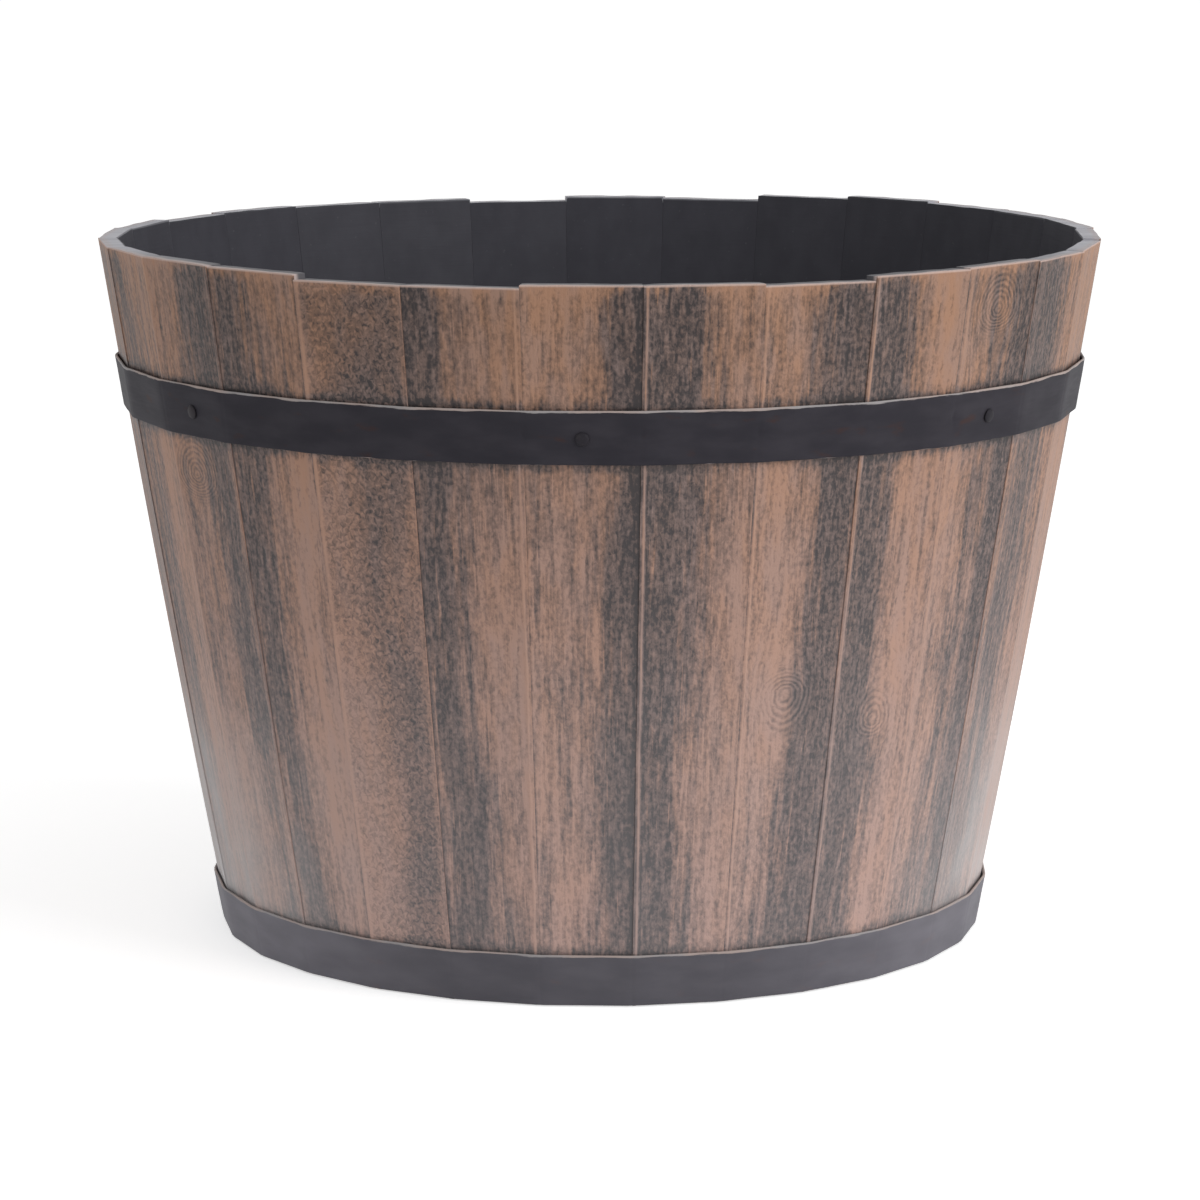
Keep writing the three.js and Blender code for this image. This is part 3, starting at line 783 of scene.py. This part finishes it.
def weathered_material():
    made, tree = new_tree("weathered_stave")
    grain, *_ = named(tree, "grain")
    _, cover, clean, worm = named(tree, "paint")
    _, ring_place, ring_share, from_top = named(tree, "knot")
    _, foot_light, _, dust_and_sheen = named(tree, "wear_and_painted_light")

    flecks = streaks(tree, grain, (0.55, 0.38, 1), detail=2, roughness=0.6, distortion=0.3)
    hatching = streaks(tree, grain, (0.62, 0.085, 1), detail=1.5)
    worms = streaks(tree, grain, (0.52, 0.44, 1), detail=1.5, roughness=0.5, distortion=0.8)
    long_streaks = streaks(tree, grain, (0.30, 0.014, 1), detail=2)
    scratches = streaks(tree, grain, (0.75, 0.035, 1), detail=2, roughness=0.6)
    clouds = streaks(tree, grain, (0.05, 0.022, 1), detail=2)
    phase = maths(tree, "MULTIPLY_ADD", worms, 1.6, ring_place)
    rings = maths(tree, "SINE", maths(tree, "MULTIPLY", phase, 2 * math.pi / RING_PITCH))

    # Relief from about -1 to 1: straight flecks, worms on some staves and rings round the knots.
    straight = maths(tree, "MULTIPLY_ADD", flecks, 6.0, maths(tree, "MULTIPLY_ADD", hatching, 4.2, -5.1))
    mottled = maths(tree, "MULTIPLY_ADD", worms, 8.0, -4.0)
    fine = add(tree, "Mix", {0: worm, 2: straight, 3: mottled}).outputs[0]
    ringed = maths(tree, "MULTIPLY_ADD", fine, 0.6, maths(tree, "MULTIPLY", rings, 0.85))
    relief = add(tree, "Mix", {0: ring_share, 2: fine, 3: ringed}).outputs[0]

    # Black lies in the hollows, and where there is more of it the raised grain is covered too.
    streaky = maths(tree, "SUBTRACT", long_streaks, 0.5)
    streaky = maths(tree, "MULTIPLY_ADD", ramp(tree, scratches, 0.58, 0.72), -0.25, streaky)
    streaky = maths(tree, "MULTIPLY", streaky, maths(tree, "MULTIPLY_ADD", worm, -0.9, 1.0))
    wanted = maths(tree, "ADD", streaky, maths(tree, "MULTIPLY_ADD", clouds, 0.5, -0.25))
    wanted = maths(tree, "ADD", maths(tree, "MINIMUM", cover, SOLID_COVER), wanted)
    soft = maths(tree, "MULTIPLY_ADD", wanted, 1.35, -0.16)
    soft = maths(tree, "SMOOTH_MIN", soft, 0.81, 0.3)
    soft = maths(tree, "MULTIPLY_ADD", ramp(tree, cover, *CLOSED_COVER), 0.22, soft)
    black = maths(tree, "MULTIPLY_ADD", relief, -0.23, soft, clamp=True)
    black = maths(tree, "MULTIPLY", black, maths(tree, "MULTIPLY_ADD", clean, -0.9, 0.95))

    # Towards the foot the raised tan and, less, the black in the hollows are lightened by painted light from
    # the floor, and dust with a painted sheen lies on both.
    tone = streaks(tree, grain, (0.12, 0.03, 1), detail=3)
    tan = blend(tree, ramp(tree, tone, 0.35, 0.65), *TANS)
    tan = blend(tree, maths(tree, "MULTIPLY", clean, 0.6), tan, CLEAN_WOOD)
    tan = blend(tree, foot_light, tan, FOOT_LIT_WOOD)
    tan = blend(tree, maths(tree, "MULTIPLY", ramp(tree, soft, 0.42, 0.80), 0.38), tan, GREY_WASH)
    ink = blend(tree, maths(tree, "MULTIPLY", foot_light, 0.30), INK, FOOT_LIT_INK)
    painted = blend(tree, black, tan, ink)
    # Dust with a painted sheen, paler at the sides and towards the foot.
    dust_and_sheen = maths(tree, "MULTIPLY", dust_and_sheen, maths(tree, "MULTIPLY_ADD", clouds, 1.6, 0.2))
    painted = blend(tree, dust_and_sheen, painted, WOOD_DUST_AND_SHEEN)
    # The top edge is paler: wear, with a painted highlight where the rounded edge faces up.
    rim = ramp(tree, from_top, 1.3, 0.5)
    colour = blend(tree, maths(tree, "MULTIPLY", rim, 0.8), painted, WORN_LIT_RIM)

    roughness = maths(tree, "MULTIPLY_ADD", black, -0.10, 0.60)
    surface(tree, colour, roughness, relief, 0.00007, Specular_IOR_Level=0.3)
    return made


def charred_material():
    made, tree = new_tree("charred_stave")
    grain, *_ = named(tree, "grain")
    _, side, from_top, _ = named(tree, "rim")
    _, _, depth, _ = named(tree, "wear_and_painted_light")
    saw = streaks(tree, grain, (0.05, 0.9, 1), detail=3, roughness=0.6)
    cloud = streaks(tree, grain, (0.08, 0.05, 1), detail=3)
    specks = streaks(tree, grain, (0.5, 0.4, 1), detail=1)
    colour = blend(tree, ramp(tree, cloud, 0.3, 0.7), *CHARS)
    colour = blend(tree, maths(tree, "MULTIPLY", ramp(tree, specks, 0.72, 0.80), 0.2), colour, CHAR_SPECK)
    # The top end is smoother and paler: a painted reflection that is least at the front and grows towards the
    # sides, and along its outer edge bare wood with a painted highlight.
    end = ramp(tree, from_top, 1.1, 0.7)
    rubbed = blend(tree, ramp(tree, cloud, 0.35, 0.65), *END_REFLECTION_CHARS)
    # Painted reflection: darker at the front, paler towards the sides.
    rubbed = blend(tree, side, FRONT_END_CHAR, rubbed)
    outer = ramp(tree, maths(tree, "MULTIPLY_ADD", cloud, 3.0, depth), 6.5, 3.5)
    outer = maths(tree, "MULTIPLY", outer, maths(tree, "MULTIPLY_ADD", side, -0.6, 1.0))
    rubbed = blend(tree, outer, rubbed, BARE_LIT_END)
    rubbed = blend(tree, ramp(tree, depth, 8.8, 9.6), rubbed, INNER_EDGE_CHAR)
    colour = blend(tree, end, colour, rubbed)
    roughness = maths(tree, "MULTIPLY_ADD", saw, 0.16, maths(tree, "MULTIPLY_ADD", end, -0.10, 0.50))
    height = maths(tree, "ADD", maths(tree, "MULTIPLY", saw, 0.6), maths(tree, "MULTIPLY", cloud, 1.5))
    surface(tree, colour, roughness, height, 0.00010, Specular_IOR_Level=0.15)
    return made


def iron_material():
    made, tree = new_tree("painted_iron")
    grain, *_ = named(tree, "grain")
    _, from_edge, upper_half, dust_and_sheen_share = named(tree, "wear_and_painted_light")
    brush = streaks(tree, grain, (0.06, 0.9, 1), detail=3, roughness=0.6)
    cloud = streaks(tree, grain, (0.035, 0.09, 0), detail=3)
    chips = streaks(tree, grain, (0.05, 0.5, 0), detail=5, roughness=0.65)
    paint = blend(tree, ramp(tree, cloud, 0.35, 0.7), *IRON_PAINTS)
    rust = ramp(tree, streaks(tree, grain, (0.05, 0.12, 0), detail=4), 0.60, 0.74)
    paint = blend(tree, maths(tree, "MULTIPLY", rust, 0.5), paint, RUST)
    # Dust and a painted reflection of the lit floor, paler towards the sides of the lower hoop.
    dust_and_sheen = maths(tree, "MULTIPLY", dust_and_sheen_share, maths(tree, "MULTIPLY_ADD", cloud, 0.5, 0.75))
    paint = blend(tree, dust_and_sheen, paint, IRON_DUST_AND_SHEEN)
    # Paint rubbed through along the edges, the upper one most.
    reach = maths(tree, "MULTIPLY_ADD", chips, 3.2, maths(tree, "MULTIPLY_ADD", upper_half, 1.15, -1.85))
    worn = ramp(tree, maths(tree, "SUBTRACT", reach, from_edge), -0.25, 0.25)
    bare = blend(tree, ramp(tree, cloud, 0.4, 0.6), *BARE_IRONS)
    colour = blend(tree, maths(tree, "MULTIPLY", worn, 0.85), paint, bare)
    roughness = maths(tree, "MULTIPLY_ADD", brush, 0.14, 0.46)
    height = maths(tree, "ADD", maths(tree, "MULTIPLY", brush, 0.5), maths(tree, "MULTIPLY", cloud, 1.5))
    surface(tree, colour, roughness, height, 0.00006, Specular_IOR_Level=0.05)
    return made


def fastening_material():
    made, tree = new_tree("fastening_iron")
    place = add(tree, "TexCoord").outputs["Object"]
    dents = streaks(tree, place, (420, 420, 420), detail=2)
    cloud = streaks(tree, place, (150, 150, 150), detail=3)
    colour = blend(tree, ramp(tree, cloud, 0.45, 0.75), *FASTENING_PAINTS)
    roughness = maths(tree, "MULTIPLY_ADD", dents, 0.2, 0.46)
    surface(tree, colour, roughness, dents, 0.0003, Specular_IOR_Level=0.15)
    return made


def board_material():
    made, tree = new_tree("charred_board")
    place = add(tree, "TexCoord").outputs["Object"]
    # Each board has its own piece of the pattern.
    across = add(tree, "SeparateXYZ", {0: place}).outputs[1]
    number = maths(tree, "FLOOR", maths(tree, "MULTIPLY_ADD", across, 1 / (BOARD_PITCH * MM), 0.5))
    shift = add(tree, "CombineXYZ", {0: maths(tree, "MULTIPLY", number, 3.7), 2: number}).outputs[0]
    coordinates = add(tree, "VectorMath", {0: place, 1: shift}).outputs[0]
    grain = streaks(tree, coordinates, (9, 420, 420), detail=4, roughness=0.6, distortion=0.4)
    figure = streaks(tree, coordinates, (3, 60, 60), detail=2, distortion=1.2)
    colour = blend(tree, ramp(tree, grain, 0.35, 0.7), *BOARD_CHARS)
    colour = blend(tree, ramp(tree, figure, 0.45, 0.7), colour, BOARD_FIGURE)
    roughness = maths(tree, "MULTIPLY_ADD", grain, 0.25, 0.5)
    surface(tree, colour, roughness, grain, 0.0004)
    return made


def dowel_material():
    made, tree = new_tree("dowel_beech")
    place = add(tree, "TexCoord").outputs["Object"]
    grain = streaks(tree, place, (900, 40, 900), detail=3)
    colour = blend(tree, ramp(tree, grain, 0.35, 0.7), *BEECHES)
    roughness = maths(tree, "MULTIPLY_ADD", grain, 0.2, 0.55)
    surface(tree, colour, roughness, grain, 0.0002)
    return made


FLOOR_GLOW = 0.50


def floor_material():
    """A pale floor that the camera and reflections see as white, with the object's shadow on it."""
    made, tree = new_tree("studio_floor")
    rays = add(tree, "LightPath").outputs
    seen = maths(tree, "ADD", rays["Is Camera Ray"], rays["Is Glossy Ray"], clamp=True)
    seen = maths(tree, "ADD", seen, rays["Is Transmission Ray"], clamp=True)
    paper = streaks(tree, add(tree, "TexCoord").outputs["Object"], (2, 2, 2))
    colour = blend(tree, paper, *PAPERS)
    base = add(tree, "BsdfDiffuse", {"Color": colour})
    strength = maths(tree, "MULTIPLY", seen, FLOOR_GLOW)
    glow = add(tree, "Emission", {"Color": (1, 1, 1, 1), "Strength": strength})
    both = add(tree, "AddShader", {0: base.outputs[0], 1: glow.outputs[0]})
    add(tree, "OutputMaterial", {"Surface": both.outputs[0]})
    return made


weathered = weathered_material()
charred = charred_material()
iron = iron_material()
fastening = fastening_material()
boards = board_material()
beech = dowel_material()

# ---- Camera, fitted to the photo ----
CAMERA_PLACE = (0, -2.2325, 0.54675)
CAMERA_DIP = 0.1707  # radians below the horizon

camera = bpy.data.cameras.new("camera")
camera.sensor_width = 36
camera.lens = 133.59
camera.clip_end = 200
view = bpy.data.objects.new("camera", camera)
view.location = CAMERA_PLACE
view.rotation_euler = (math.radians(90) - CAMERA_DIP, 0, 0)
bpy.context.scene.collection.objects.link(view)
bpy.context.scene.camera = view

# ---- The planter ----
for index in range(STAVES):
    stave(index)

UPPER_DIMPLES = [
    (-8.36, 14, 0.7),
    (4.5, 14, 0.6),
    (17.4, 14, 0.6),
    (43.1, 14, 0.9),
    (120.2, 13, 0.7),
    (-85.5, 12, 0.6),
]
hoop("upper_hoop", UPPER_HOOP_Z, 0.0, UPPER_DIMPLES, 21)
hoop("lower_hoop", LOWER_HOOP_Z, 1.0, [], 22)

number = 0
for node in sorted(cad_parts):
    if "_rivet_" in node or "_nail_" in node:
        number += 1
        fastener(node, number, *(RIVET if "_rivet_" in node else NAIL))
    elif node.startswith("floor_"):
        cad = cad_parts[node]
        cad.data.materials.clear()
        cad.data.materials.append(boards if "board" in node else beech)
        weld = cad.modifiers.new("weld", "WELD")
        weld.merge_threshold = 0.00002
        soften = cad.modifiers.new("soften", "BEVEL")
        soften.width = 0.0006
        soften.segments = 2
        soften.limit_method = "ANGLE"
        soften.angle_limit = math.radians(40)

# ---- Stage ----
WORLD_STRENGTH = 0.60
LAMP_AIM = Vector((0, 0, 0.2))

bpy.ops.mesh.primitive_plane_add(size=80, location=(0, 0, 0))
ground = bpy.context.object
ground.name = "studio_floor"
ground.data.materials.append(floor_material())

world = bpy.data.worlds.new("studio")
bpy.context.scene.world = world
world.use_nodes = True
background = world.node_tree.nodes["Background"]
background.inputs["Color"].default_value = (1.0, 1.0, 1.0, 1)
background.inputs["Strength"].default_value = WORLD_STRENGTH


def softbox(name, place, size, power):
    """A square lamp that faces the middle of the planter."""
    lamp = bpy.data.lights.new(name, "AREA")
    lamp.shape = "RECTANGLE"
    lamp.size = lamp.size_y = size
    lamp.energy = power
    made = bpy.data.objects.new(name, lamp)
    made.location = place
    made.rotation_euler = (LAMP_AIM - Vector(place)).to_track_quat("-Z", "Y").to_euler()
    bpy.context.scene.collection.objects.link(made)


softbox("key_right", (2.6, -1.6, 1.6), 2.4, 62)
softbox("fill_left", (-2.4, -1.6, 1.6), 1.6, 6)

bpy.context.scene.view_settings.view_transform = "Standard"
